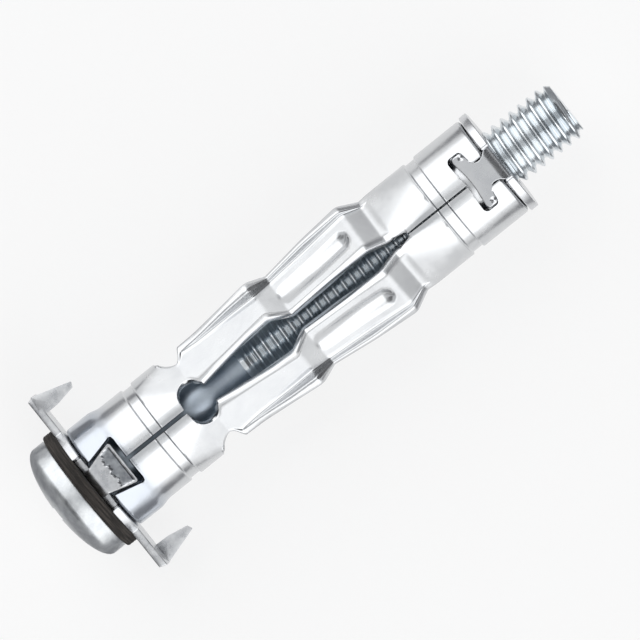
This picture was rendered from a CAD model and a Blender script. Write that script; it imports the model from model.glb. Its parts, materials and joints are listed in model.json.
"""Hollow wall anchor: looks for the screw, washer, claw plate, slotted sleeve and nut plate.

Shapes are worked out in millimetres, in the anchor's own places: x along the screw from the
wall face, y across and z up from the screw's axis. placed() turns them into the row frame.
"""

import json
import math

import bmesh
import bpy
import numpy as np
from mathutils import Matrix, Vector
from mathutils.geometry import delaunay_2d_cdt

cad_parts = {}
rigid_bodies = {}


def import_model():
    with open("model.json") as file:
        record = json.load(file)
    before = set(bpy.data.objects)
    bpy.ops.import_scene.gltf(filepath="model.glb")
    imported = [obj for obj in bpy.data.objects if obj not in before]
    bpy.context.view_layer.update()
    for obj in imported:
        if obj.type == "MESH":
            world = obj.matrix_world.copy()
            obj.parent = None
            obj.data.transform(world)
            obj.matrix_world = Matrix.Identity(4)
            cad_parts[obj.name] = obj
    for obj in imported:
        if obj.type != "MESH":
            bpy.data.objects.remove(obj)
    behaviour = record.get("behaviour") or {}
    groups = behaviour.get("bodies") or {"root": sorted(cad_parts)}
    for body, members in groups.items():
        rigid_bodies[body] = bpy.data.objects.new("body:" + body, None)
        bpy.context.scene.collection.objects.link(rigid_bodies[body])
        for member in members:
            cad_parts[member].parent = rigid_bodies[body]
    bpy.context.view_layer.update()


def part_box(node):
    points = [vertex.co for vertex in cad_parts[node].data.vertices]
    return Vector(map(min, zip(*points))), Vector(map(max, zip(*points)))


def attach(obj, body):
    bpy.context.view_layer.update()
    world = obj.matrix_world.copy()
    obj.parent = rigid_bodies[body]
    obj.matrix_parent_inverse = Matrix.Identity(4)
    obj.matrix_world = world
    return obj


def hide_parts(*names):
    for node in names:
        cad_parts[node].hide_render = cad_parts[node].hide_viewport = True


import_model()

MM = 0.001
DIAGONAL = math.sqrt(0.5)
FAR = 9.0  # more than any distance across the anchor

# Sizes in millimetres, as in the part's source
CLAW_T = 0.75
SHEET_T = 0.5
SLEEVE_R = 5.15
COLLAR_R = 5.4
HEAD_R = 5.95
RIM_H = 1.35
SHANK_R = 2.7
SHANK_LEN = 18.9
RUN_IN = 0.6
MAJOR_R = 2.95
PITCH = 1.0
CLAW_R = 6.15
NUT_R = 5.3
NUT_COLLAR_R = 3.9
NUT_COLLAR_LEN = 3.2

# Where the anchor lies in the row frame
washer_low, washer_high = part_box("fibre_washer")
screw_low, screw_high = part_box("screw")
nut_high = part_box("nut_plate")[1]
sleeve_low, sleeve_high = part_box("sleeve")
WALL_X = washer_high.x + CLAW_T * MM
AXIS_Z = (washer_low.z + washer_high.z) / 2


def along(x_world):
    """Distance from the wall face, in millimetres, of a place in the row frame."""
    return (x_world - WALL_X) / MM


HEAD_X = along(washer_low.x)
TIP_X = along(screw_high.x)
APEX_X = along(screw_low.x)
SLEEVE_START = along(sleeve_low.x)
SLEEVE_END = along(sleeve_high.x)
NUT_X = SLEEVE_END + 0.1
NUT_T = along(nut_high.x) - NUT_X
WASHER_R = (washer_high.y - washer_low.y) / 2 / MM
THREAD_START = HEAD_X + SHANK_LEN - RUN_IN


def placed(points):
    """Points in millimetres, in the anchor's own places, as points in the row frame."""
    return np.asarray(points, float) * MM + np.array([WALL_X, 0, AXIS_Z])


# ---------------------------------------------------------------- mesh helpers


def grid_faces(rows, columns, start=0, closed=False):
    """Quads of a grid of rows x columns vertices; closed joins the last column to the first."""
    faces = []
    for i in range(rows - 1):
        for j in range(columns if closed else columns - 1):
            k = (j + 1) % columns
            a, b = start + i * columns + j, start + i * columns + k
            faces.append((a, b, b + columns, a + columns))
    return faces


def new_piece(name, points, faces, material, merge=1e-7):
    mesh = bpy.data.meshes.new(name)
    mesh.from_pydata([tuple(p) for p in placed(points)], [], faces)
    piece = bpy.data.objects.new(name, mesh)
    bpy.context.scene.collection.objects.link(piece)
    mesh.materials.append(material)
    if merge:
        work = bmesh.new()
        work.from_mesh(mesh)
        bmesh.ops.remove_doubles(work, verts=work.verts, dist=merge)
        bmesh.ops.dissolve_degenerate(work, edges=work.edges, dist=merge)
        work.to_mesh(mesh)
        work.free()
    return piece


def turned_out(piece):
    """Makes a closed piece's faces look outward."""
    work = bmesh.new()
    work.from_mesh(piece.data)
    bmesh.ops.recalc_face_normals(work, faces=work.faces)
    work.to_mesh(piece.data)
    work.free()


def modifier(piece, kind, **settings):
    added = piece.modifiers.new(kind, kind)
    for name, value in settings.items():
        setattr(added, name, value)


def finished(piece, smooth=32):
    """Applies the piece's modifiers and shades it smooth below the given angle."""
    bpy.context.view_layer.update()
    evaluated = piece.evaluated_get(bpy.context.evaluated_depsgraph_get())
    mesh = bpy.data.meshes.new_from_object(evaluated)
    piece.modifiers.clear()
    piece.data = mesh
    mesh.polygons.foreach_set("use_smooth", np.ones(len(mesh.polygons), bool))
    mesh.set_sharp_from_angle(angle=math.radians(smooth))
    return piece


SEGMENTS = 96  # of a turned piece, unless it says otherwise


def lathe(profile, segments=SEGMENTS, wave=None):
    """Points and faces of a profile [(x, radius)] turned about the screw's axis."""
    angles = np.arange(segments) * 2 * math.pi / segments
    points = []
    for x, radius in profile:
        for a in angles:
            r, dx = (radius, 0) if wave is None else wave(x, radius, a)
            points.append((x + dx, r * math.sin(a), r * math.cos(a)))
    faces = grid_faces(len(profile), segments, closed=True)
    return points, faces


def rounded(corners, steps=6):
    """A closed outline of corners (x, y, radius), each turned on its own radius."""
    outline = []
    for k, (x, y, radius) in enumerate(corners):
        at = np.array([x, y])
        before = np.array(corners[k - 1][:2]) - at
        after = np.array(corners[(k + 1) % len(corners)][:2]) - at
        if radius <= 0:
            outline.append(tuple(at))
            continue
        u, v = before / np.linalg.norm(before), after / np.linalg.norm(after)
        reach = radius / math.tan(math.acos(np.clip(u @ v, -1, 1)) / 2)
        a, b = at + u * reach, at + v * reach
        for t in np.linspace(0, 1, steps):
            outline.append(tuple((1 - t) ** 2 * a + 2 * t * (1 - t) * at + t * t * b))
    return outline


def inside(outline, points):
    """Which of the points lie inside a closed outline."""
    x, y = points[:, 0], points[:, 1]
    within = np.zeros(len(points), bool)
    for (ax, ay), (bx, by) in zip(outline, np.roll(outline, -1, axis=0)):
        crosses = (ay > y) != (by > y)
        with np.errstate(divide="ignore", invalid="ignore"):
            within ^= crosses & (x < (bx - ax) * (y - ay) / (by - ay) + ax)
    return within


def edge_distance(outline, points):
    """Distance of each point from the nearest side of a closed outline."""
    nearest = np.full(len(points), FAR)
    for a, b in zip(outline, np.roll(outline, -1, axis=0)):
        along_side = np.clip((points - a) @ (b - a) / max((b - a) @ (b - a), 1e-9), 0, 1)
        away = points - a - along_side[:, None] * (b - a)
        nearest = np.minimum(nearest, np.linalg.norm(away, axis=1))
    return nearest


def smoothstep(low, high, x):
    t = np.clip((np.asarray(x, float) - low) / (high - low), 0, 1)
    return t * t * (3 - 2 * t)


# ---------------------------------------------------------------- materials


class Graph:
    """A short way to write a shader's nodes."""

    def __init__(self, name):
        self.material = bpy.data.materials.new(name)
        self.material.use_nodes = True
        self.nodes = self.material.node_tree.nodes
        self.links = self.material.node_tree.links
        self.shader = self.nodes["Principled BSDF"]
        self.place = self.nodes.new("ShaderNodeTexCoord").outputs["Object"]

    def add(self, kind, settings=None, **inputs):
        node = self.nodes.new(kind)
        for key, value in (settings or {}).items():
            setattr(node, key, value)
        for key, value in inputs.items():
            self.feed(node.inputs[key.replace("_", " ")], value)
        return node

    def feed(self, socket, value):
        if isinstance(value, bpy.types.NodeSocket):
            self.links.new(value, socket)
        else:
            socket.default_value = value

    def stretched(self, *scale):
        node = self.add("ShaderNodeMapping", Vector=self.place)
        node.inputs["Scale"].default_value = scale
        return node.outputs["Vector"]

    def noise(self, size_mm, detail=3, roughness=0.5, vector=None):
        scale = 1 / (size_mm * MM)
        node = self.add("ShaderNodeTexNoise", Vector=vector or self.place)
        node.inputs["Scale"].default_value = scale
        node.inputs["Detail"].default_value = detail
        node.inputs["Roughness"].default_value = roughness
        return node.outputs["Fac"]

    def math(self, operation, a, b):
        node = self.add("ShaderNodeMath", {"operation": operation})
        for socket, value in zip(node.inputs, (a, b)):
            self.feed(socket, value)
        return node.outputs[0]

    def range(self, value, low, high, to_low, to_high):
        node = self.add("ShaderNodeMapRange")
        for socket, v in zip(node.inputs, (value, low, high, to_low, to_high)):
            self.feed(socket, v)
        return node.outputs[0]

    def blend(self, factor, a, b):
        node = self.add("ShaderNodeMix", {"data_type": "RGBA"})
        self.feed(node.inputs[0], factor)
        for socket, value in ((node.inputs[6], a), (node.inputs[7], b)):
            self.feed(socket, (*value, 1) if isinstance(value, tuple) else value)
        return node.outputs[2]

    def bump(self, height, depth_mm):
        node = self.add("ShaderNodeBump", Height=height)
        node.inputs["Strength"].default_value = 1.0
        node.inputs["Distance"].default_value = depth_mm * MM
        return node.outputs["Normal"]


COLLAR_TINT = (0.50, 0.53, 0.575)
COLLAR_FADE = (3.0, 4.6)  # the tint fades out between these places


def zinc(name, light, dark, rough=(0.16, 0.3), ripple=0.004, cloud=2.4, collar=False):
    """Zinc plating: clouds of two tones, a fine grain and a soft unevenness of ripple mm.

    cloud is the clouds' size in mm, and collar tints the sleeve's collar a darker blue-grey.
    """
    g = Graph(name)
    clouds = g.noise(cloud, detail=4, roughness=0.6)
    grain = g.noise(0.12, detail=2)
    tone = g.range(clouds, 0.35, 0.65, 0.0, 1.0)
    colour = g.blend(tone, light, dark)
    if collar:
        x = g.add("ShaderNodeSeparateXYZ", Vector=g.place).outputs["X"]
        near = g.range(x, WALL_X + COLLAR_FADE[0] * MM, WALL_X + COLLAR_FADE[1] * MM, 1.0, 0.0)
        colour = g.blend(near, colour, COLLAR_TINT)
    g.feed(g.shader.inputs["Base Color"], colour)
    g.feed(g.shader.inputs["Metallic"], 1.0)
    g.feed(g.shader.inputs["Roughness"], g.range(clouds, 0.3, 0.7, rough[1], rough[0]))
    height = g.math("ADD", g.noise(1.3, detail=2), g.math("MULTIPLY", grain, 0.1))
    g.feed(g.shader.inputs["Normal"], g.bump(height, ripple))
    return g.material


sleeve_zinc = zinc("sleeve_zinc", (0.66, 0.67, 0.68), (0.59, 0.60, 0.615), collar=True)
plate_zinc = zinc("plate_zinc", (0.72, 0.73, 0.74), (0.52, 0.53, 0.55), (0.2, 0.4), 0.012, 1.1)
nut_zinc = zinc("nut_zinc", (0.68, 0.69, 0.70), (0.62, 0.63, 0.65), (0.22, 0.34), 0.006)
screw_zinc = zinc("screw_zinc", (0.78, 0.81, 0.83), (0.66, 0.70, 0.73), (0.14, 0.28))
shank_zinc = zinc("shank_zinc", (0.50, 0.56, 0.62), (0.38, 0.43, 0.49), (0.34, 0.5), 0.01, 1.4)
head_zinc = zinc("head_zinc", (0.76, 0.78, 0.79), (0.54, 0.56, 0.58), (0.32, 0.46), 0.03, 1.2)
lug_scale = zinc("lug_scale", (0.40, 0.42, 0.44), (0.20, 0.21, 0.23), (0.3, 0.5), 0.02, 0.7)


def dull_zinc():
    """The sleeve's inside: thin, matt plating that scatters what little light gets in."""
    g = Graph("inner_zinc")
    clouds = g.noise(1.8, detail=4)
    colour = g.blend(clouds, (0.50, 0.56, 0.62), (0.66, 0.71, 0.76))
    g.feed(g.shader.inputs["Base Color"], colour)
    g.feed(g.shader.inputs["Metallic"], 0.45)
    g.feed(g.shader.inputs["Roughness"], g.range(clouds, 0.3, 0.7, 0.5, 0.35))
    g.feed(g.shader.inputs["Normal"], g.bump(g.noise(0.2, detail=2), 0.01))
    return g.material


inner_zinc = dull_zinc()


def pressed_fibre():
    """Dark pressed fibre whose rim shows its layers."""
    g = Graph("fibre")
    layers = g.noise(0.11, detail=3, vector=g.stretched(1, 0.05, 0.05))
    fluff = g.noise(0.25, detail=4)
    colour = g.blend(g.range(layers, 0.45, 0.75, 0, 1), (0.016, 0.013, 0.011), (0.075, 0.064, 0.055))
    g.feed(g.shader.inputs["Base Color"], colour)
    g.feed(g.shader.inputs["Roughness"], 0.8)
    height = g.math("ADD", layers, g.math("MULTIPLY", fluff, 0.5))
    g.feed(g.shader.inputs["Normal"], g.bump(height, 0.05))
    return g.material


fibre = pressed_fibre()


# ---------------------------------------------------------------- sleeve

# A leg's half section at stations along it, in millimetres: place x, then (across, out) of the
# lip's edge, of the wall's top and of the wall's foot, and how far the corner there is eased
LEG = [
    (11.6, 2.80, 4.27, 2.20, 4.27, 2.02, 4.25, 0.30),
    (12.4, 2.73, 4.38, 2.15, 4.33, 1.98, 4.22, 0.30),
    (14.9, 2.60, 4.63, 1.94, 4.66, 1.81, 4.22, 0.60),
    (18.5, 2.54, 5.20, 1.84, 5.26, 1.70, 4.38, 0.60),
    (21.1, 2.60, 5.54, 1.71, 5.54, 1.57, 4.46, 0.32),
    (23.0, 2.95, 4.22, 2.46, 4.45, 2.33, 3.82, 0.14),
    (27.5, 3.20, 4.79, 2.63, 4.98, 2.47, 4.13, 0.60),
    (31.8, 3.38, 5.12, 2.57, 5.18, 2.47, 4.70, 0.32),
    (33.7, 3.08, 4.09, 2.38, 4.16, 2.30, 4.04, 0.12),
    (35.0, 3.05, 4.09, 2.38, 4.12, 2.30, 4.08, 0.20),
]
MIDDLE = 20.0  # nearer the wall than this, the head end's rules hold, and past it the other end's
COLLAR_RAMP = (2.6, 3.9)  # the collar slopes down to the sleeve between these places
GROOVES = ((6.3, 7.5), (39.0, 40.2))
GROOVE_DEPTH = 0.2
GROOVE_RAMP = 0.16
RIM_ROUND = 0.35  # radius of the sleeve's ends
LEG_START = 11.9
LEG_END = 33.75
HEAD_FLAT = 4.24  # distance from the axis of the flats where the legs start
TAIL_FLAT = 4.07  # and where they end
ROUND_AGAIN = 38.9
KEYHOLE_X = 11.4
KEYHOLE_R = 1.35
KEYHOLE_SIDE = 0.85
KEYHOLE_ROWS = (8.9, KEYHOLE_X + 1.31)  # the rows that bend round a keyhole
SLOT_START = 34.2
SLOT_START_HALF = 0.66
SLOT_END = 35.65
SLOT_HALF = 0.36
LEGS_RULE = (12.75, 34.0)  # between these places the slots are as wide as the legs leave them
SEAM_HALF = 0.21
END_SEAM_HALF = 0.1
SEAM_STRIP = 0.78
BEAD = (23.9, 30.2)
BEAD_HALF = 1.08
TEE_NECK_LEN = 1.75
TEE_BAR_LEN = 1.3
TEE_X = NUT_X - TEE_NECK_LEN - TEE_BAR_LEN
TEE_GAP = 0.16
SNAP = 0.045  # points this close to a notch's edge are moved onto it


def eased(stations):
    """The stations joined by straight lines whose corners are rounded, as [x, values...] rows."""
    rows = [np.array(stations[0][:-1])]
    for before, here, after in zip(stations, stations[1:], stations[2:]):
        p, a, b = (np.array(s[:-1]) for s in (here, before, after))
        ease = here[-1]
        start = p + (a - p) * ease / (p[0] - a[0])
        stop = p + (b - p) * ease / (b[0] - p[0])
        rows += [
            (1 - t) ** 2 * start + 2 * t * (1 - t) * p + t * t * stop
            for t in np.linspace(0, 1, 9)
        ]
    return np.array(rows + [np.array(stations[-1][:-1])])


LEG_LINE = eased(LEG)


def leg_at(x):
    """The six values of a leg's half section at x."""
    return [np.interp(x, LEG_LINE[:, 0], LEG_LINE[:, k]) for k in range(1, 7)]


def tube_radius(x):
    """Outside radius of the round sleeve: collar, grooves and the rounding at both ends."""
    r = SLEEVE_R + (COLLAR_R - SLEEVE_R) * (1 - smoothstep(*COLLAR_RAMP, x))
    for start, stop in GROOVES:
        down = smoothstep(start, start + GROOVE_RAMP, x)
        up = smoothstep(stop - GROOVE_RAMP, stop, x)
        r -= GROOVE_DEPTH * (down - up)
    for inward in (x - SLEEVE_START, SLEEVE_END - x):
        short = np.clip(RIM_ROUND - inward, 0, RIM_ROUND)
        r -= RIM_ROUND - np.sqrt(RIM_ROUND**2 - short**2)
    return r


def flat_distance(x):
    """Distance from the axis of the four flats where the round sleeve runs into the legs."""
    groove_end = GROOVES[0][1]
    sunk = np.clip((x - groove_end) / (LEG_START - groove_end), 0, 1)
    risen = np.clip((x - LEG_END) / (ROUND_AGAIN - LEG_END), -9, 1)
    head = SLEEVE_R - (SLEEVE_R - HEAD_FLAT) * sunk
    tail = TAIL_FLAT + (SLEEVE_R - TAIL_FLAT) * risen
    outer = np.where(x < MIDDLE, head, tail)
    return np.where((x < groove_end) | (x > ROUND_AGAIN), FAR, outer)


def by_length(line, start, stop):
    """A boundary line [(x, half width)] as (place, x, half width), spread evenly by its length."""
    line = np.array(line, float)
    steps = np.r_[0, np.cumsum(np.hypot(*np.diff(line, axis=0).T))]
    place = start + (stop - start) * steps / steps[-1]
    return [(p, *xy) for p, xy in zip(place, line)]


def arc(x, y, radius, start, stop, steps=7):
    """Points of an arc round (x, y), in degrees from +x towards +y."""
    turn = np.radians(np.linspace(start, stop, steps))
    return [(x + radius * math.cos(t), y + radius * math.sin(t)) for t in turn]


def keyhole(seam):
    """Half of a keyhole's edge, from the seam's half width to the legs' slot."""
    line = [(KEYHOLE_X - KEYHOLE_R, seam)] + arc(KEYHOLE_X, KEYHOLE_SIDE, KEYHOLE_R, 180, 14, 16)
    return by_length([(KEYHOLE_ROWS[0], seam)] + line, *KEYHOLE_ROWS)


def slot_close(seam):
    """Half of a slot's edge where it narrows past the legs and closes to the seam's half width."""
    seam_start = SLOT_END + 1.55
    end = arc(SLOT_END - SLOT_HALF, 0, SLOT_HALF, 90, 12 if seam else 0, 8)
    line = [(SLOT_START, SLOT_START_HALF)] + end + [(seam_start, seam)]
    return by_length(line, SLOT_START, seam_start)


def dovetail_notch():
    """Half of the outline cut out of the sleeve round a dovetail lug: points (x, y)."""
    end, wide, r = 3.4, 2.6, 0.35
    return [(-1, 1.62), (0, 1.84)] + arc(end - r, wide - r, r, 75, 0, 6)


def tee_notch():
    """Half of the outline cut out of the sleeve round a T-lug: points (x, y)."""
    bar, neck, r = 2.96, 1.36, 0.45
    start, stop = TEE_X - TEE_GAP, NUT_X - TEE_NECK_LEN + TEE_GAP
    line = [(start + 0.2, 0), (start + 0.17, 0.7), (start + 0.08, 1.4)]
    line += arc(start + r, bar - r, r, 180, 90) + arc(stop - r, bar - r, r, 90, 0)
    line += arc(stop + r, neck + r, r, 180, 270)
    return line + [(SLEEVE_END - 0.3, neck), (SLEEVE_END, neck + 0.25), (SLEEVE_END + 1, neck + 0.3)]


def outside_notches(points):
    """Distance of places on the sheet from the lugs' notches, negative inside them."""
    clear = np.full(len(points), FAR)
    near = np.abs(points[:, 2]) > 3.0
    for half in (dovetail_notch(), tee_notch()):
        outline = np.array(half + [(x, -y) for x, y in reversed(half)])
        flat = points[near, :2]
        away = edge_distance(outline, flat)
        clear[near] = np.minimum(clear[near], np.where(inside(outline, flat), -away, away))
    return clear


def with_notches(points, faces):
    """The sheet with the lugs' notches cut out of it, along smooth edges."""
    points = np.array(points, float)
    clear = outside_notches(points)
    close = np.where(np.abs(clear) < SNAP)[0]
    step = 1e-3
    slope = np.c_[
        outside_notches(points[close] + [step, 0, 0]) - clear[close],
        outside_notches(points[close] + [0, step, 0]) - clear[close],
    ] / step
    moved = points[close].copy()
    radius = np.hypot(moved[:, 1], moved[:, 2])
    moved[:, :2] -= slope * clear[close, None]
    moved[:, 2] = np.sign(moved[:, 2]) * np.sqrt(np.maximum(radius**2 - moved[:, 1] ** 2, 0))
    points[close] = moved
    clear[close] = 0
    places, crossings, kept = list(map(tuple, points)), {}, []

    def crossing(a, b):
        key = (min(a, b), max(a, b))
        if key not in crossings:
            share = clear[a] / (clear[a] - clear[b])
            crossings[key] = len(places)
            places.append(tuple(points[a] + (points[b] - points[a]) * share))
        return crossings[key]

    for face in faces:
        level = clear[list(face)]
        if level.min() >= 0:
            kept.append(face)
        elif level.max() > 0:
            part = []
            for a, b in zip(face, face[1:] + face[:1]):
                if clear[a] >= 0:
                    part.append(a)
                if clear[a] * clear[b] < 0:
                    part.append(crossing(a, b))
            if len(part) > 2:
                kept.append(tuple(part))
    return places, kept


def boundary(kind):
    """Where a quarter of the sleeve ends: rows (place, x, half width of the gap there)."""
    head_seam, end_seam = (SEAM_HALF, END_SEAM_HALF) if kind == "seam" else (0, 0)
    rows = [(SLEEVE_START, SLEEVE_START, head_seam)] + keyhole(head_seam)
    for x in np.arange(LEGS_RULE[0], LEGS_RULE[1], 0.2):
        lip_a, lip_d = leg_at(x)[:2]
        rows.append((x, x, (lip_d - lip_a) * DIAGONAL))
    rows += slot_close(end_seam)
    rows += [(SLEEVE_END, SLEEVE_END, end_seam)]
    return np.array(rows)


def groove_spans(start, stop):
    """Spans of rows over a groove: fine ones on its two ramps and coarse ones between."""
    before, after = 0.1, GROOVE_RAMP + 0.1
    return [
        (start - before, start + after, 0.05),
        (start + after, stop - after, 0.2),
        (stop - after, stop + before, 0.05),
    ]


def row_places():
    """Places of the grid's rows, closer together where the sleeve's shape changes quickly."""
    spans = [
        (SLEEVE_START, 3.6, 0.1),
        (3.6, 4.2, 0.12),
        (4.2, 6.2, 0.3),
        *groove_spans(*GROOVES[0]),
        (7.6, 9.6, 0.3),
        (9.6, 13.2, 0.12),
        (13.2, 20.5, 0.45),
        (20.5, 23.5, 0.125),
        (23.5, 29.6, 0.34),
        (29.6, 31.3, 0.14),
        (31.3, SLOT_START, 0.11),
        (SLOT_START, 36.2, 0.12),
        (36.2, 38.9, 0.3),
        *groove_spans(*GROOVES[1]),
        (40.3, 42.4, 0.3),
        (42.4, 45.0, 0.1),
        (45.0, SLEEVE_END, 0.06),
    ]
    places = []
    for start, stop, step in spans:
        count = max(1, round((stop - start) / step))
        places += list(np.linspace(start, stop, count, endpoint=False))
    return np.array(places + [SLEEVE_END])


def bezier(a, corner, b, steps):
    t = np.linspace(0, 1, steps)[:, None]
    return (1 - t) ** 2 * a + 2 * t * (1 - t) * corner + t * t * b


FOOT_ROUND = 0.22
TOP_ROUND = 0.5


def half_section(x):
    """A leg's half section at x, from its middle to the lip's edge: points (across, out)."""
    lip_a, lip_d, top_a, top_d, foot_a, foot_d = leg_at(x)
    lip, top, foot = (np.array(p) for p in ((lip_a, lip_d), (top_a, top_d), (foot_a, foot_d)))
    wall = np.linalg.norm(top - foot)
    up, out = (top - foot) / wall, (lip - top) / np.linalg.norm(lip - top)
    low = min(FOOT_ROUND, 0.4 * wall)
    high = min(TOP_ROUND, 0.5 * wall)
    web = [np.array([t * (foot_a - low), foot_d]) for t in np.linspace(0, 1, 9)[:-1]]
    corner = bezier(foot - [low, 0], foot, foot + up * low, 4)
    crest = bezier(top - up * high, top, top + out * min(high, 0.6 * np.linalg.norm(lip - top)), 6)
    edge = [crest[-1] + (lip - crest[-1]) * t for t in (0.5, 1)]
    return np.array([*web, *corner, *crest, *edge])


def bead_depth(x, across):
    """How far the bead presses the web in at a place on it."""
    start, stop = BEAD
    past = np.maximum(np.maximum(start - x, x - stop), 0)
    near = np.hypot(across, past) / BEAD_HALF
    grow = 0.18 + 0.34 * smoothstep(start - 0.5, stop, x)
    return grow * np.clip(1 - near**2, 0, 1) ** 0.9


def to_edge(x, gap):
    """How far across, on the sleeve, the edge of a gap of that half width lies."""
    r, flat = tube_radius(x), flat_distance(x)
    turn = math.pi / 4 - math.asin(min(gap / r, 1))
    across = r * math.sin(turn)
    if math.sqrt(max(r * r - across * across, 0)) > flat:
        across = flat - gap / DIAGONAL
    return across


def rounded_into(round_out, flat, share, ease):
    """The smaller of the tube's and the flat's distance, with their border rounded off."""
    soft = ease * np.log1p(np.exp(-np.abs(round_out - flat) / ease))
    return np.minimum(round_out, flat) - soft * (1 - smoothstep(0.8, 1.0, share))


def quarter(side_a, side_b):
    """Rows of points (x, across, out) of a quarter of the sleeve, from side a to side b."""
    places = row_places()
    sides = [boundary(side_a), boundary(side_b)]
    head_across, tail_across = half_section(12.3)[:, 0], half_section(34.0)[:, 0]
    head_share, tail_share = head_across / head_across[-1], tail_across / tail_across[-1]
    rows = []
    for place in places:
        halves = []
        for side in sides:
            x_edge = np.interp(place, side[:, 0], side[:, 1])
            gap = np.interp(place, side[:, 0], side[:, 2])
            share, ease = (head_share, 0.1) if place < MIDDLE else (tail_share, 0.3)
            fade = np.clip((share - 0.15) / 0.85, 0, 1) ** 1.3
            xs = place + (x_edge - place) * fade
            cut = to_edge(x_edge, max(gap, 0))
            across = share * cut
            r, flat = tube_radius(xs), flat_distance(xs)
            tube = np.c_[xs, across, rounded_into(np.sqrt(r * r - across**2), flat, share, ease)]
            weight = smoothstep(11.8, 12.9, place) - smoothstep(33.6, 34.6, place)
            if weight > 0:
                leg = half_section(place)
                if not LEGS_RULE[0] < place < LEGS_RULE[1]:
                    leg[:, 0] *= min(1, cut / leg[-1, 0])
                leg = np.c_[np.full(len(leg), place), leg]
                leg[:, 2] -= bead_depth(place, leg[:, 1])
                tube = tube * (1 - weight) + leg * weight
            halves.append(tube)
        left, right = halves
        rows.append([(x, -a, d) for x, a, d in left[::-1]] + [tuple(p) for p in right[1:]])
    return np.array(rows)


def strip_flattened(points, x, seam_side):
    """Rolled sheet stays almost flat in a narrow strip on both sides of its seam."""
    if not seam_side:
        return points
    y, z = points[:, 1], points[:, 2]
    level = np.sqrt(np.maximum(tube_radius(x) ** 2 - SEAM_STRIP**2, 0))
    level += 0.1 * (SEAM_STRIP - np.abs(y))
    tube = (x < LEG_START) | (x > SLOT_END)
    points[:, 2] = np.where(tube & (np.abs(y) < SEAM_STRIP) & (z > 0), level, z)
    return points


def make_sleeve():
    points, faces = [], []
    kinds = ["seam", "side", "under", "side"]
    for q in range(4):
        grid = quarter(kinds[q], kinds[(q + 1) % 4])
        rows, columns = grid.shape[:2]
        x, across, out = grid.reshape(-1, 3).T
        turn = math.radians(45 + 90 * q)
        y = out * math.sin(turn) + across * math.cos(turn)
        z = out * math.cos(turn) - across * math.sin(turn)
        flat = strip_flattened(np.c_[x, y, z], x, q in (0, 3))
        faces += grid_faces(rows, columns, start=len(points))
        points += [tuple(p) for p in flat]
    points, faces = with_notches(points, faces)
    piece = new_piece("sleeve_sheet", points, faces, sleeve_zinc, merge=2e-6)
    tidy = bmesh.new()
    tidy.from_mesh(piece.data)
    bmesh.ops.delete(tidy, geom=[v for v in tidy.verts if not v.link_faces], context="VERTS")
    tidy.to_mesh(piece.data)
    tidy.free()
    middle = piece.data.polygons[len(piece.data.polygons) // 2]
    outward = Vector((0, middle.center.y, middle.center.z - AXIS_Z))
    if middle.normal.dot(outward) < 0:
        piece.data.flip_normals()
    piece.data.materials.append(inner_zinc)
    modifier(piece, "SOLIDIFY", thickness=SHEET_T * MM, offset=-1, material_offset=1)
    modifier(piece, "BEVEL", width=0.05 * MM, segments=2, limit_method="ANGLE", angle_limit=1.0)
    finished(piece, 40)
    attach(piece, "anchor")
    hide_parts("sleeve")


# ---------------------------------------------------------------- screw

MINOR_R = 2.36  # at the root of the thread
CREST_FLAT = 0.12  # share of the way from crest to root that stays flat
TIP_TAPER = 0.6  # length of the chamfer at the screw's end
THREAD_SHIFT = 0.3  # moves the crests along the screw, as a share of the pitch


def thread_radius(x, turn):
    """Outside radius of the thread: crest, two flanks and root, right-handed."""
    phase = (x / PITCH + THREAD_SHIFT - turn / (2 * math.pi)) % 1.0
    from_crest = np.abs(phase - 0.5) * 2
    curved = smoothstep(CREST_FLAT, 0.86, from_crest)
    straight = np.clip((from_crest - CREST_FLAT) / 0.76, 0, 1)
    depth = 0.45 * curved + 0.55 * straight
    grow = smoothstep(THREAD_START, THREAD_START + 1.6, x)
    root = SHANK_R + (MINOR_R - SHANK_R) * grow
    crest = SHANK_R + (MAJOR_R - SHANK_R) * grow
    r = crest - (crest - root) * depth
    return np.minimum(r, MAJOR_R - np.clip(x - (TIP_X - TIP_TAPER), 0, 1) * 0.8)


def make_thread():
    """Points and faces of the thread: rows that climb one pitch a turn, clipped at both ends."""
    segments, per_pitch = 64, 12
    turn = np.arange(segments) * 2 * math.pi / segments
    count = int((TIP_X - THREAD_START + 1) / PITCH * per_pitch)
    points = []
    for k in range(count + 1):
        x = THREAD_START - 1 + k * PITCH / per_pitch + PITCH * turn / (2 * math.pi)
        x = np.clip(x, THREAD_START, TIP_X)
        r = thread_radius(x, turn)
        points += [(xx, rr * math.sin(t), rr * math.cos(t)) for xx, rr, t in zip(x, r, turn)]
    faces = grid_faces(count + 1, segments)
    last = segments - 1
    for k in range(count - per_pitch):
        a, b = k * segments + last, (k + per_pitch) * segments
        faces.append((a, b, b + segments, a + segments))
    return points, faces


def make_head():
    """The domed head with its cross recess."""
    rim_top = HEAD_X - RIM_H
    dome = rim_top - APEX_X
    head = [(rim_top - dome * math.cos(a), HEAD_R * math.sin(a)) for a in np.radians(np.arange(1, 90, 5))]
    head += [(rim_top, HEAD_R), (HEAD_X - 0.22, HEAD_R), (HEAD_X - 0.08, HEAD_R - 0.05)]
    head += [(HEAD_X, HEAD_R - 0.2), (HEAD_X, 0.01)]
    points, faces = lathe(head)
    faces.append(tuple(range(SEGMENTS)))
    faces.append(tuple(range((len(head) - 1) * SEGMENTS, len(head) * SEGMENTS)))
    piece = new_piece("screw_head", points, faces, head_zinc)
    turned_out(piece)
    for turn in (0, 90):
        cutter = recess_wing(turn, rim_top - dome)
        modifier(piece, "BOOLEAN", operation="DIFFERENCE", object=cutter, solver="EXACT")
    finished(piece, 30)
    for cutter in [o for o in bpy.data.objects if o.name.startswith("cutter")]:
        bpy.data.objects.remove(cutter)
    return piece


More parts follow.
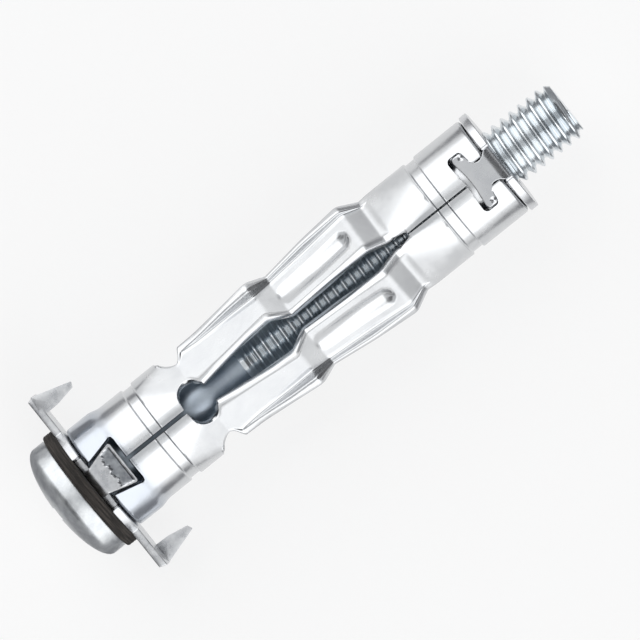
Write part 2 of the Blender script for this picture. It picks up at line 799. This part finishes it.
def make_shank():
    start, stop, inner = HEAD_X - 0.2, THREAD_START + 0.02, 0.5
    points, faces = lathe([(start, inner), (start, SHANK_R), (stop, SHANK_R), (stop, inner)])
    shank = new_piece("screw_shank", points, faces, shank_zinc)
    turned_out(shank)
    return finished(shank, 30)


def make_screw():
    head, shank = make_head(), make_shank()
    points, faces = make_thread()
    thread = new_piece("screw_thread", points, faces, screw_zinc, merge=2e-6)
    cap = bmesh.new()
    cap.from_mesh(thread.data)
    bmesh.ops.holes_fill(cap, edges=cap.edges, sides=0)
    bmesh.ops.recalc_face_normals(cap, faces=cap.faces)
    cap.to_mesh(thread.data)
    cap.free()
    finished(thread, 40)
    for piece in (head, shank, thread):
        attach(piece, "screw")
    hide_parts("screw")


def recess_wing(turn, apex):
    """A tapered bar that cuts one wing of the cross recess."""
    half, wide, deep = 3.1, 0.6, 2.4
    rim, bottom = apex - 0.5, apex + deep
    points = []
    for x, across, thick in ((rim, half + 0.25, wide + 0.1), (bottom, half - 1.5, wide - 0.1)):
        for y, z in ((-across, -thick), (across, -thick), (across, thick), (-across, thick)):
            c, s = math.cos(math.radians(turn)), math.sin(math.radians(turn))
            points.append((x, y * c - z * s, y * s + z * c))
    faces = [(0, 1, 2, 3), (7, 6, 5, 4), (0, 4, 5, 1), (1, 5, 6, 2), (2, 6, 7, 3), (3, 7, 4, 0)]
    piece = new_piece(f"cutter_{turn}", points, faces, screw_zinc)
    turned_out(piece)
    return piece


# ---------------------------------------------------------------- washer and plates


SHEET_HOLE = 3.1  # radius of the holes that the screw passes through


def make_washer():
    """The pressed fibre washer: a ring whose rim bulges and frays a little, layer by layer."""
    low, high = HEAD_X, HEAD_X + (washer_high.x - washer_low.x) / MM
    xs = np.linspace(low, high, 13)
    random = np.random.default_rng(4)
    bulge = random.uniform(-0.03, 0.02, len(xs))
    bulge[[0, -1]] = -0.06

    def wave(x, radius, turn):
        if radius < 4:
            return radius, 0
        k = int(round((x - low) / (high - low) * (len(xs) - 1)))
        rough = 0.02 * math.sin(turn * 9 + k * 1.7) * math.sin(turn * 23 + k)
        return radius + bulge[k] + rough - 0.02, 0

    profile = [(low, SHEET_HOLE)] + [(x, WASHER_R) for x in xs]
    profile += [(high, SHEET_HOLE), (low, SHEET_HOLE)]
    points, faces = lathe(profile, 180, wave)
    piece = new_piece("washer_ring", points, faces, fibre)
    turned_out(piece)
    finished(piece, 50)
    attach(piece, "washer")
    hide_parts("fibre_washer")


def cut_sheet(name, outline, thickness, spot, material, spacing=9.0, bevel=0.06, hole=0.0):
    """A piece of sheet cut to an outline (u, v); spot(u, v, w) gives each point's place, w below."""
    outline = np.array(outline, float)
    low, high = outline.min(axis=0), outline.max(axis=0)
    u, v = np.meshgrid(
        np.linspace(low[0], high[0], int((high[0] - low[0]) / spacing) + 2),
        np.linspace(low[1], high[1], int((high[1] - low[1]) / spacing) + 2),
    )
    grid = np.c_[u.ravel(), v.ravel()]
    grid = grid[inside(outline, grid)]
    grid = grid[edge_distance(outline, grid) > max(2.2 * bevel, min(0.6 * spacing, 0.2))]
    rings = [outline]
    if hole:
        rings.append(np.array(arc(0, 0, hole, 0, 360, 73))[:-1])
    edges, first = [], 0
    for ring in rings:
        n = len(ring)
        edges += [(first + k, first + (k + 1) % n) for k in range(n)]
        first += n
    flat = [Vector(p) for p in np.vstack([*rings, grid])]
    points, _, faces, *_ = delaunay_2d_cdt(flat, edges, [], 1, 1e-6)
    assert len(points) == len(flat)
    if hole:
        middle = [sum((points[k] for k in face), Vector((0, 0))) / len(face) for face in faces]
        faces = [face for face, at in zip(faces, middle) if at.length > hole]
    top = [spot(p.x, p.y, 0) for p in points]
    under = [spot(p.x, p.y, thickness) for p in points]
    count = len(points)
    sides = [(a, b, b + count, a + count) for a, b in edges]
    lower = [tuple(k + count for k in reversed(face)) for face in faces]
    faces = [tuple(face) for face in faces]
    piece = new_piece(name, top + under, faces + lower + sides, material, merge=0)
    turned_out(piece)
    modifier(piece, "BEVEL", width=bevel * MM, segments=3, limit_method="ANGLE", angle_limit=0.9)
    return finished(piece, 40)


FOLD_ROOT = 3.2  # how near the axis a folded lug's root reaches


def folded(end, face, radius):
    """Places on a sheet that runs along x at the given face and folds down where x reaches end."""

    def spot(u, v, w):
        start = end - radius
        turn = (u - start) / radius
        if turn <= 0:
            return (u, v, face - w)
        if turn < math.pi / 2:
            reach = radius - w
            return (start + reach * math.sin(turn), v, face - radius + reach * math.cos(turn))
        return (end - w, v, max(face - radius - (u - start - radius * math.pi / 2), FOLD_ROOT))

    return spot


def turned_copy(piece, name):
    """A copy of a piece turned half a turn about the screw's axis."""
    copy = bpy.data.objects.new(name, piece.data.copy())
    bpy.context.scene.collection.objects.link(copy)
    about = Matrix.Translation((0, 0, AXIS_Z)) @ Matrix.Rotation(math.pi, 4, "X")
    copy.data.transform(about @ Matrix.Translation((0, 0, -AXIS_Z)))
    return copy


ARM_HALF = 2.6
ARM_END = 9.75
ARM_POINT = 8.9  # one more point on an arm's edge, a little before its bevelled end
ARM_BEVEL = 0.25
PLATE_LAP = 0.02  # how far one sheet laps into the next, so that no faces coincide


def make_claw_plate():
    """The plate with its two arms, the dovetail lugs and the prongs."""
    turns = np.radians(np.arange(28, 66, 3))
    rim = [(CLAW_R * math.sin(a), CLAW_R * math.cos(a)) for a in turns]
    rim = [(y, z) for y, z in reversed(rim) if z > ARM_HALF]
    relief = [(2.7, 3.95), (2.2, 3.95)]
    part = [(ARM_END - PLATE_LAP, ARM_HALF), (ARM_POINT, ARM_HALF), *rim, *relief]
    outline = []
    for sy, sz in ((1, 1), (-1, 1), (-1, -1), (1, -1)):
        corner = [(sy * y, sz * z) for y, z in part]
        outline += corner if sy * sz > 0 else corner[::-1]

    def spot(u, v, w):
        bevel = ARM_BEVEL * (1 - w / CLAW_T) if abs(u) > ARM_END - ARM_BEVEL else 0
        return (-CLAW_T + w, u - math.copysign(bevel, u), v)

    plate = cut_sheet("claw_disc", outline, CLAW_T, spot, plate_zinc, bevel=0.09, hole=SHEET_HOLE)
    for one in (plate, *dovetail_lugs(), *prongs()):
        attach(one, "anchor")
    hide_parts("claw_plate")


def dovetail_lugs():
    """The front lug and its twin: a dovetail with a sunk panel across its end."""
    face, radius = 5.05, 0.72
    end, wide, r = 2.84, 2.16, 0.24
    root, root_half = -1.9, 1.5
    half = [(0.05, 1.42), (0.9, 1.68), (1.8, 1.95)] + arc(end - r, wide - r, r, 75, 0, 6)
    outline = [(root, -root_half), *[(x, -y) for x, y in half], *reversed(half), (root, root_half)]
    panel_start, panel_end, panel_depth = 1.45, 2.5, 0.16
    fold = folded(0, face, radius)

    def spot(u, v, w):
        x, y, z = fold(-u - CLAW_T + PLATE_LAP, v, w)
        ragged = panel_start + 0.12 * math.sin(v * 5.1) + 0.07 * math.sin(v * 13 + 1)
        sunk = smoothstep(ragged - 0.08, ragged + 0.08, u)
        sunk *= 1 - smoothstep(panel_end, panel_end + 0.1, u)
        sunk *= 1 - smoothstep(1.6, 1.72, abs(v) - 0.2 * (u - 1.5))
        lumps = 0.014 * math.sin(u * 5 + v * 3) * math.sin(v * 4 - u * 2) * smoothstep(0.2, 0.6, u)
        if w == 0 and u > 0.1:
            z -= panel_depth * sunk + lumps
        return (-x - CLAW_T + PLATE_LAP, y, z)

    lug = cut_sheet("dovetail_front", outline, CLAW_T - PLATE_LAP, spot, plate_zinc, 0.09, 0.05)
    lug.data.materials.append(lug_scale)
    for polygon in lug.data.polygons:
        x, y, z = (np.array(polygon.center) - (WALL_X, 0, AXIS_Z)) / MM
        if 1.3 < x < 2.6 and abs(y) < 1.95 and face - 0.3 < z < face - 0.07:
            polygon.material_index = 1
    return [lug, turned_copy(lug, "dovetail_back")]


def prongs():
    """The prong folded from the arm's front edge and its twin."""
    root = [(7.7, -0.5, 0), (ARM_END, -0.3, 0.1)]
    tip = [(8.62, 3.5, 0.12), (8.1, 3.25, 0.1), (7.75, 1.3, 0.8)]
    outline = rounded(root + tip)
    lift = 0.015  # so that its face and the arm's edge don't lie in one plane

    def spot(u, v, w):
        return (v, u, ARM_HALF + lift - w)

    front = cut_sheet("prong_front", outline, CLAW_T, spot, plate_zinc, bevel=0.17)
    return [front, turned_copy(front, "prong_back")]


def make_nut_plate():
    """The end plate, the collar inside the sleeve and the T-lugs."""
    turns = np.radians(np.arange(22, 159, 4))
    disc = [(NUT_R * math.sin(a), NUT_R * math.cos(a)) for a in turns]
    relief = [(1.5, 4.0), (1.62, 4.72), (1.8, 4.93)]
    side = relief + disc + [(y, -z) for y, z in reversed(relief)]
    outline = side + [(-y, z) for y, z in reversed(side)]

    def spot(u, v, w):
        return (NUT_X + w, u, v)

    bore = 3.0
    plate = cut_sheet("nut_disc", outline, NUT_T, spot, nut_zinc, bevel=0.16, hole=bore)
    start, stop = NUT_X - NUT_COLLAR_LEN, NUT_X + 0.05
    section = [(start, bore), (start, NUT_COLLAR_R), (stop, NUT_COLLAR_R), (stop, bore), (start, bore)]
    points, faces = lathe(section)
    ring = new_piece("nut_collar", points, faces, nut_zinc)
    turned_out(ring)
    finished(ring, 30)
    for one in (plate, ring, *tee_lugs()):
        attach(one, "anchor")
    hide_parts("nut_plate")


def tee_lugs():
    """The front lug and its twin: a T whose neck flares and folds down into the nut plate."""
    face, radius = 4.85, 1.1
    top = NUT_X + NUT_T - 0.01
    wide, front_r, back_r = 2.78, 0.42, 0.36
    front, back = -2.77, -1.57  # the bar's ends, from the nut plate's face
    pip_x, pip_y, pip_r, pip_h = NUT_X - 1.9, 2.42, 0.27, 0.2
    half = [(-2.53, 0.0), (-2.56, 0.7), (-2.64, 1.4), (-2.73, 2.0)]
    half += arc(front + front_r, wide - front_r, front_r, 190, 90, 7)
    half += arc(back - back_r, wide - back_r, back_r, 90, 10, 6)
    half += [(-1.53, 2.1), (-1.46, 1.75), (-1.33, 1.45), (-1.14, 1.26), (-0.9, 1.18), (-0.65, 1.2)]
    half += [(-0.4, 1.3), (-0.15, 1.45), (0.1, 1.62), (0.35, 1.82), (0.6, 2.04), (0.85, 2.25)]
    half += [(1.2, 2.4), (1.9, 2.4)]
    half = [(NUT_X + x, y) for x, y in half]
    outline = half[::-1] + [(x, -y) for x, y in half[1:]]
    fold = folded(top, face, radius)

    def spot(u, v, w):
        x, y, z = fold(u, v, w)
        pip = math.hypot(u - pip_x, abs(v) - pip_y) / pip_r
        return (x, y, z + pip_h * max(1 - pip * pip, 0) * (w == 0))

    lug = cut_sheet("tee_front", outline, NUT_T - PLATE_LAP, spot, nut_zinc, 0.1, 0.06)
    return [lug, turned_copy(lug, "tee_back")]


# ---------------------------------------------------------------- stage, light and camera


STAGE_ROUGHNESS = 0.9


def plain(name, colour):
    """One plain matt colour, for the stage's cards only."""
    g = Graph(name)
    g.feed(g.shader.inputs["Base Color"], (*colour, 1))
    g.feed(g.shader.inputs["Roughness"], STAGE_ROUGHNESS)
    return g.material


WHITE_SHARE = 0.78  # how much of the floor is plain white to the camera and in reflections


def white_floor():
    """A white floor that the camera and the metal see mostly as plain white, with its shadow kept."""
    g = Graph("floor_white")
    g.feed(g.shader.inputs["Base Color"], (0.93, 0.93, 0.93, 1))
    g.feed(g.shader.inputs["Roughness"], STAGE_ROUGHNESS)
    ray = g.add("ShaderNodeLightPath").outputs
    seen = g.math("MAXIMUM", ray["Is Camera Ray"], ray["Is Glossy Ray"])
    seen = g.math("MAXIMUM", seen, ray["Is Transmission Ray"])
    glow = g.add("ShaderNodeEmission")
    glow.inputs["Color"].default_value = (1, 1, 1, 1)
    glow.inputs["Strength"].default_value = 1.0
    mix = g.add("ShaderNodeMixShader", Fac=g.math("MULTIPLY", seen, WHITE_SHARE))
    g.links.new(g.shader.outputs[0], mix.inputs[1])
    g.links.new(glow.outputs[0], mix.inputs[2])
    g.links.new(mix.outputs[0], g.nodes["Material Output"].inputs["Surface"])
    return g.material


def card(name, corners, material):
    mesh = bpy.data.meshes.new(name)
    mesh.from_pydata(corners, [], [tuple(range(len(corners)))])
    mesh.materials.append(material)
    piece = bpy.data.objects.new(name, mesh)
    bpy.context.scene.collection.objects.link(piece)
    return piece


def softbox(name, centre, size, level):
    """A soft area light that looks at the object; level is its brightness, where 1 is white."""
    lamp = bpy.data.lights.new(name, "AREA")
    lamp.shape = "RECTANGLE"
    lamp.size, lamp.size_y = size
    lamp.energy = level * math.pi * size[0] * size[1]
    lamp.color = (1, 1, 1)
    light = bpy.data.objects.new(name, lamp)
    light.location = centre
    light.rotation_mode = "QUATERNION"
    away = Vector(centre).normalized()
    side = Vector((1, 0, 0))
    light.rotation_quaternion = Matrix((side, away.cross(side), away)).transposed().to_quaternion()
    bpy.context.scene.collection.objects.link(light)
    light.visible_camera = False


def make_stage():
    """Floor, two soft lamps, and cards that only the metal's reflections show.

    A dark flag stands past each end of the anchor, and a grey mat lies beside it on the floor.
    """
    card("floor", [(-6, -6, 0), (6, -6, 0), (6, 6, 0), (-6, 6, 0)], white_floor())
    flag_grey = plain("flag_grey", (0.17, 0.17, 0.175))
    mat_grey = plain("mat_grey", (0.36, 0.36, 0.37))
    near, high, near_half = 0.18, 0.52, 0.28
    far, low, far_half = 0.6, 0.08, 0.36
    mat_half = [(0.012, 0.024), (0.36, 0.62), (0.9, 0.62)]
    mat_outline = mat_half + [(x, -y) for x, y in reversed(mat_half)] + [(0.036, 0)]
    mat_z = 0.0012
    for side in (-1, 1):
        upper = [(side * near, -near_half, high), (side * near, near_half, high)]
        lower = [(side * far, far_half, low), (side * far, -far_half, low)]
        flag = card(f"flag_{side + 1}", upper + lower, flag_grey)
        flag.visible_camera = False
        softbox(f"softbox_{side + 1}", (0, side * 0.50, 0.30), (0.52, 1.0), 1.09)
        mat = card(f"mat_{side + 1}", [(side * x, y, mat_z) for x, y in mat_outline], mat_grey)
        mat.visible_camera = mat.visible_diffuse = mat.visible_shadow = False
    world = bpy.data.worlds.new("studio")
    world.use_nodes = True
    sky = world.node_tree.nodes["Background"]
    sky.inputs["Color"].default_value = (0.74, 0.75, 0.76, 1)
    sky.inputs["Strength"].default_value = 1.0
    bpy.context.scene.world = world


# The photograph's view: where its camera stands and how it is turned
PHOTO_TURN = math.radians(38.62)  # the screw's direction above the picture's horizontal
PHOTO_WIDTH = 57.76 * MM  # width of the picture at the object
LOOKS_AT = Vector((0.07 * MM, -1.1 * MM, AXIS_Z))
STANDS_AT = Vector((63.4 * MM, -1.1 * MM, 1.3))
SENSOR = 36.0


def make_camera():
    data = bpy.data.cameras.new("camera")
    camera = bpy.data.objects.new("camera", data)
    bpy.context.scene.collection.objects.link(camera)
    look = (LOOKS_AT - STANDS_AT).normalized()
    right = Vector((math.cos(PHOTO_TURN), -math.sin(PHOTO_TURN), 0))
    right = (right - look * right.dot(look)).normalized()
    up = right.cross(look)
    camera.location = STANDS_AT
    camera.rotation_mode = "QUATERNION"
    camera.rotation_quaternion = Matrix((right, up, -look)).transposed().to_quaternion()
    data.sensor_width = SENSOR
    data.lens = SENSOR * (LOOKS_AT - STANDS_AT).length / PHOTO_WIDTH
    data.clip_start, data.clip_end = 0.1, 20
    bpy.context.scene.camera = camera


make_stage()
make_camera()
make_sleeve()
make_screw()
make_washer()
make_claw_plate()
make_nut_plate()

view = bpy.context.scene.view_settings
view.view_transform = "Standard"
